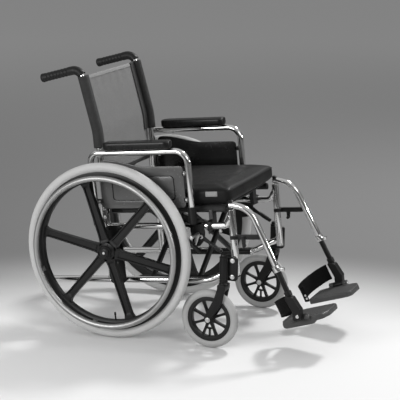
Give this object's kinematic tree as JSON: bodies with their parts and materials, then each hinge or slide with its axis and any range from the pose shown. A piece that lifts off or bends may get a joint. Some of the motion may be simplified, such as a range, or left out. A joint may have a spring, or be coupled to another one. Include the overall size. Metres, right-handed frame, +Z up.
{
  "type": "wheelchair",
  "caption": "Self-propelled folding wheelchair with large spoked rear wheels, handrims, swivelling casters, lift-off armrests, swing-away footrests and a cross-brace frame.",
  "frame": {"origin": "middle of the chair's overall box at floor level", "axes": "+Z up, the chair faces -Y, +X is the sitter's left"},
  "size_m": [0.663, 1.0544, 0.9177],
  "materials": {
    "chrome": "polished chrome plating",
    "black_paint": "satin black powder coat",
    "black_plastic": "moulded black, satin",
    "grip_rubber": "matt",
    "grey_tyre": "light grey, non-marking, matt",
    "handrim_alloy": "satin",
    "steel": "bright zinc",
    "seat_vinyl": "soft sheen",
    "back_cloth": "woven, matt",
    "side_panel_plastic": "soft gloss",
    "webbing": "woven, matt"
  },
  "bodies": {
    "right_frame": {"side_frame_right": "chrome", "back_cane_right": "chrome", "push_grip_right": "grip_rubber", "axle_plate_right": "black_paint", "arm_socket_right": "black_plastic", "rail_guide_right": "black_plastic", "caster_housing_right": "black_paint", "lock_body_right": "steel", "axle_pin_right": "steel", "back_upholstery": "back_cloth"},
    "cross_brace_a": {"brace_a": "black_paint", "brace_bolt_rear": "steel", "brace_bolt_front": "steel", "seat_sling": "seat_vinyl", "seat_cushion": "seat_vinyl"},
    "cross_brace_b": {"brace_b": "black_paint"},
    "left_frame": {"side_frame_left": "chrome", "back_cane_left": "chrome", "push_grip_left": "grip_rubber", "axle_plate_left": "black_paint", "arm_socket_left": "black_plastic", "rail_guide_left": "black_plastic", "caster_housing_left": "black_paint", "lock_body_left": "steel", "axle_pin_left": "steel"},
    "right_arm": {"arm_tube_right": "chrome", "arm_pad_right": "seat_vinyl", "side_panel_right": "side_panel_plastic"},
    "right_wheel": {"rear_tyre_right": "grey_tyre", "rear_wheel_right": "black_plastic", "handrim_right": "handrim_alloy"},
    "right_caster_fork": {"caster_fork_right": "black_paint", "caster_axle_right": "steel"},
    "right_caster": {"caster_wheel_right": "black_plastic", "caster_tyre_right": "grey_tyre"},
    "right_hanger": {"hanger_right": "chrome"},
    "right_hanger_latch": {"hanger_latch_right": "black_plastic"},
    "right_footrest": {"footrest_tube_right": "black_paint"},
    "right_footplate": {"footplate_right": "black_plastic", "heel_loop_right": "webbing"},
    "right_lock_lever": {"lock_lever_right": "black_plastic"},
    "right_lock_shoe": {"lock_shoe_right": "steel"},
    "left_arm": {"arm_tube_left": "chrome", "arm_pad_left": "seat_vinyl", "side_panel_left": "side_panel_plastic"},
    "left_wheel": {"rear_tyre_left": "grey_tyre", "rear_wheel_left": "black_plastic", "handrim_left": "handrim_alloy"},
    "left_caster_fork": {"caster_fork_left": "black_paint", "caster_axle_left": "steel"},
    "left_caster": {"caster_wheel_left": "black_plastic", "caster_tyre_left": "grey_tyre"},
    "left_hanger": {"hanger_left": "chrome"},
    "left_hanger_latch": {"hanger_latch_left": "black_plastic"},
    "left_footrest": {"footrest_tube_left": "black_paint"},
    "left_footplate": {"footplate_left": "black_plastic", "heel_loop_left": "webbing"},
    "left_lock_lever": {"lock_lever_left": "black_plastic"},
    "left_lock_shoe": {"lock_shoe_left": "steel"}
  },
  "joints": [
    {"name": "fold", "type": "hinge", "parent": "right_frame", "child": "cross_brace_a", "pos_m": [-0.19, 0.20924, 0.18771], "axis": [0, -0.994, 0.1097], "range_deg": [0, 46], "deforming": ["seat_sling", "seat_cushion", "back_upholstery"]},
    {"name": "brace_centre", "type": "hinge", "parent": "cross_brace_a", "child": "cross_brace_b", "pos_m": [0, 0.22241, 0.30699], "axis": [0, -0.994, 0.1097], "range_deg": [-92, 0]},
    {"name": "left_frame_pivot", "type": "hinge", "parent": "cross_brace_b", "child": "left_frame", "pos_m": [0.19, 0.20924, 0.18771], "axis": [0, -0.994, 0.1097], "range_deg": [0, 46]},
    {"name": "right_arm_lift", "type": "slide", "parent": "right_frame", "child": "right_arm", "axis": [0, 0.1097, 0.994], "range_m": [0, 0.05]},
    {"name": "right_wheel_spin", "type": "hinge", "parent": "right_frame", "child": "right_wheel", "pos_m": [-0.284, 0.22219, 0.305], "axis": [1, 0, 0], "continuous": true},
    {"name": "right_caster_swivel", "type": "hinge", "parent": "right_frame", "child": "right_caster_fork", "pos_m": [-0.248, -0.18681, 0.28], "axis": [0, 0, 1], "continuous": true},
    {"name": "right_caster_spin", "type": "hinge", "parent": "right_caster_fork", "child": "right_caster", "pos_m": [-0.248, -0.13981, 0.1016], "axis": [1, 0, 0], "continuous": true},
    {"name": "right_hanger_swing", "type": "hinge", "parent": "right_frame", "child": "right_hanger", "pos_m": [-0.214, -0.19587, 0.4915], "axis": [0, -0.1097, -0.994], "range_deg": [0, 90]},
    {"name": "right_latch_press", "type": "hinge", "parent": "right_hanger", "child": "right_hanger_latch", "pos_m": [-0.214, -0.24405, 0.38766], "axis": [-1, 0, 0], "range_deg": [0, 25], "stiffness_Nm_per_rad": 0.15},
    {"name": "right_footrest_height", "type": "slide", "parent": "right_hanger", "child": "right_footrest", "axis": [-0.0464, -0.4737, -0.8795], "range_m": [-0.04, 0.04]},
    {"name": "right_footplate_flip", "type": "hinge", "parent": "right_footrest", "child": "right_footplate", "pos_m": [-0.214, -0.44558, 0.13425], "axis": [0, -0.9494, 0.314], "range_deg": [0, 90], "deforming": ["heel_loop_right"]},
    {"name": "right_lock_press", "type": "hinge", "parent": "right_frame", "child": "right_lock_lever", "pos_m": [-0.235, -0.09888, 0.37667], "axis": [-1, 0, 0], "range_deg": [0, 75]},
    {"name": "right_lock_shoe_turn", "type": "hinge", "parent": "right_frame", "child": "right_lock_shoe", "pos_m": [-0.238, -0.07744, 0.35216], "axis": [-1, 0, 0], "range_deg": [0, 16.5]},
    {"name": "left_arm_lift", "type": "slide", "parent": "left_frame", "child": "left_arm", "axis": [0, 0.1097, 0.994], "range_m": [0, 0.05]},
    {"name": "left_wheel_spin", "type": "hinge", "parent": "left_frame", "child": "left_wheel", "pos_m": [0.284, 0.22219, 0.305], "axis": [1, 0, 0], "continuous": true},
    {"name": "left_caster_swivel", "type": "hinge", "parent": "left_frame", "child": "left_caster_fork", "pos_m": [0.248, -0.18681, 0.28], "axis": [0, 0, 1], "continuous": true},
    {"name": "left_caster_spin", "type": "hinge", "parent": "left_caster_fork", "child": "left_caster", "pos_m": [0.248, -0.13981, 0.1016], "axis": [1, 0, 0], "continuous": true},
    {"name": "left_hanger_swing", "type": "hinge", "parent": "left_frame", "child": "left_hanger", "pos_m": [0.214, -0.19587, 0.4915], "axis": [0, 0.1097, 0.994], "range_deg": [0, 90]},
    {"name": "left_latch_press", "type": "hinge", "parent": "left_hanger", "child": "left_hanger_latch", "pos_m": [0.214, -0.24405, 0.38766], "axis": [-1, 0, 0], "range_deg": [0, 25], "stiffness_Nm_per_rad": 0.15},
    {"name": "left_footrest_height", "type": "slide", "parent": "left_hanger", "child": "left_footrest", "axis": [0.0464, -0.4737, -0.8795], "range_m": [-0.04, 0.04]},
    {"name": "left_footplate_flip", "type": "hinge", "parent": "left_footrest", "child": "left_footplate", "pos_m": [0.214, -0.44558, 0.13425], "axis": [0, 0.9494, -0.314], "range_deg": [0, 90], "deforming": ["heel_loop_left"]},
    {"name": "left_lock_press", "type": "hinge", "parent": "left_frame", "child": "left_lock_lever", "pos_m": [0.235, -0.09888, 0.37667], "axis": [-1, 0, 0], "range_deg": [0, 75]},
    {"name": "left_lock_shoe_turn", "type": "hinge", "parent": "left_frame", "child": "left_lock_shoe", "pos_m": [0.238, -0.07744, 0.35216], "axis": [-1, 0, 0], "range_deg": [0, 16.5]}
  ],
  "couplings": [
    {"joint": "brace_centre", "follows": "fold", "ratio": -2},
    {"joint": "left_frame_pivot", "follows": "fold", "ratio": 1},
    {"joint": "right_footplate_flip", "follows": "fold", "ratio": 1.9565},
    {"joint": "right_lock_shoe_turn", "follows": "right_lock_press", "ratio": 0.22},
    {"joint": "left_footplate_flip", "follows": "fold", "ratio": 1.9565},
    {"joint": "left_lock_shoe_turn", "follows": "left_lock_press", "ratio": 0.22}
  ]
}
